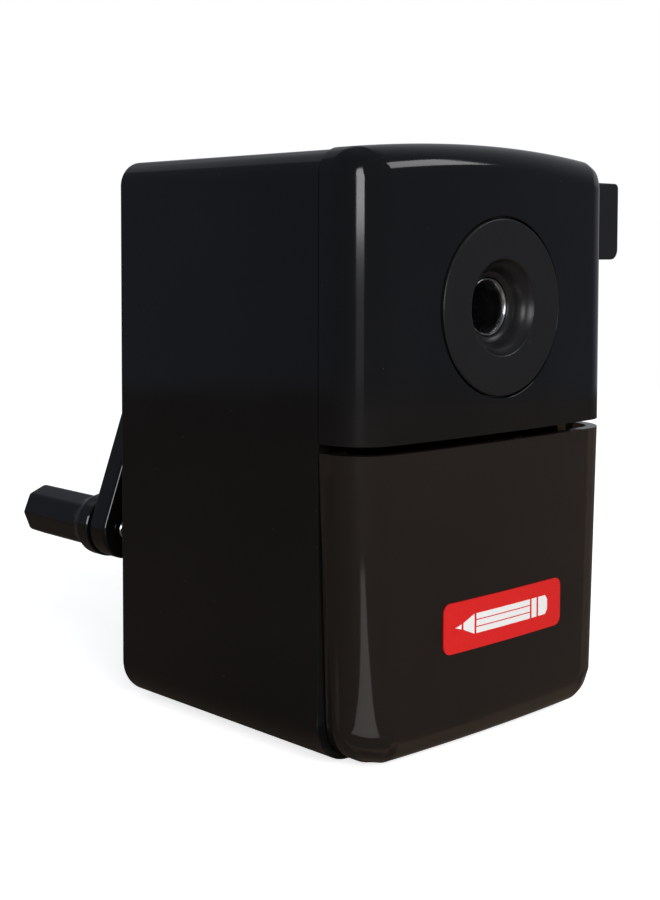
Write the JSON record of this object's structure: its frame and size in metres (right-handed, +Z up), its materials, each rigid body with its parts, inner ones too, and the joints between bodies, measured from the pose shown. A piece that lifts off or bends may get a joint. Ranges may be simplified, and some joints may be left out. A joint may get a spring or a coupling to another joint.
{
  "type": "pencil sharpener",
  "caption": "Hand-cranked desk pencil sharpener: black casing, helical cutter in a turning carrier, steel-bushed pencil hole, point selector and smoked pull-out shavings drawer.",
  "frame": {"origin": "middle of the whole object's footprint, at the desk", "axes": "+Z up; -Y out of the front face with the pencil hole; +X to the right seen from the front; the crank is at +Y"},
  "size_m": [0.0794, 0.1066, 0.1031],
  "materials": {
    "black_gloss": "high-gloss black ABS moulding",
    "black_satin": "fine satin black moulding",
    "smoked_plastic": "smoked brown-black translucent styrene, glossy",
    "grey_plastic": "plain dark grey moulding",
    "bright_steel": "turned and polished steel",
    "screw_steel": "zinc-plated steel",
    "die_cast": "raw die-cast zinc alloy, slightly grainy",
    "brass": "turned brass",
    "rubber": "soft black rubber",
    "red_label": "red printed vinyl label with a plain white pencil sign"
  },
  "bodies": {
    "casing": {"rear_casing": "black_gloss", "front_cover": "black_gloss", "guide_disc": "black_satin", "guide_bush": "bright_steel", "guide_sleeve_nut": "grey_plastic", "mechanism_frame": "grey_plastic", "ring_gear": "die_cast", "fork_rod": "bright_steel", "shaft_bush": "brass", "casing_screw_1": "screw_steel", "casing_screw_2": "screw_steel", "casing_screw_3": "screw_steel", "casing_screw_4": "screw_steel", "frame_screw_1": "screw_steel", "frame_screw_2": "screw_steel", "rubber_foot_1": "rubber", "rubber_foot_2": "rubber", "rubber_foot_3": "rubber", "rubber_foot_4": "rubber"},
    "crank": {"crank_shaft": "bright_steel", "crank_arm": "black_gloss", "crank_washer": "bright_steel", "crank_screw": "screw_steel", "knob_spindle": "bright_steel", "cutter_carrier": "die_cast", "cutter_arbor": "bright_steel"},
    "cutter": {"helical_cutter": "bright_steel", "cutter_pinion": "bright_steel"},
    "knob": {"crank_knob": "black_gloss", "knob_cap": "black_gloss"},
    "drawer": {"shavings_drawer": "smoked_plastic", "drawer_label": "red_label"},
    "selector": {"point_selector": "black_satin"},
    "fork": {"shift_fork": "grey_plastic"},
    "stop": {"stop_collar": "die_cast"}
  },
  "joints": [
    {"name": "crank_turn", "type": "hinge", "parent": "casing", "child": "crank", "pos_m": [-0.0055, 0.01303, 0.0753], "axis": [0, 1, 0], "continuous": true},
    {"name": "cutter_spin", "type": "hinge", "parent": "crank", "child": "cutter", "pos_m": [-0.0055, -0.03315, 0.0653], "axis": [0, 0.9848, 0.1736], "continuous": true},
    {"name": "knob_spin", "type": "hinge", "parent": "crank", "child": "knob", "pos_m": [-0.03, 0.03703, 0.02945], "axis": [0, 1, 0], "continuous": true},
    {"name": "drawer_slide", "type": "slide", "parent": "casing", "child": "drawer", "axis": [0, -1, 0], "range_m": [0, 0.046]},
    {"name": "selector_slide", "type": "slide", "parent": "casing", "child": "selector", "axis": [0, 0, -1], "range_m": [0, 0.008]},
    {"name": "fork_slide", "type": "slide", "parent": "casing", "child": "fork", "axis": [0, -1, 0], "range_m": [0, 0.0024]},
    {"name": "stop_slide", "type": "slide", "parent": "crank", "child": "stop", "axis": [0, -1, 0], "range_m": [0, 0.0024]}
  ],
  "couplings": [
    {"joint": "cutter_spin", "follows": "crank_turn", "ratio": -3},
    {"joint": "fork_slide", "follows": "selector_slide", "ratio": 0.3},
    {"joint": "stop_slide", "follows": "selector_slide", "ratio": 0.3}
  ]
}
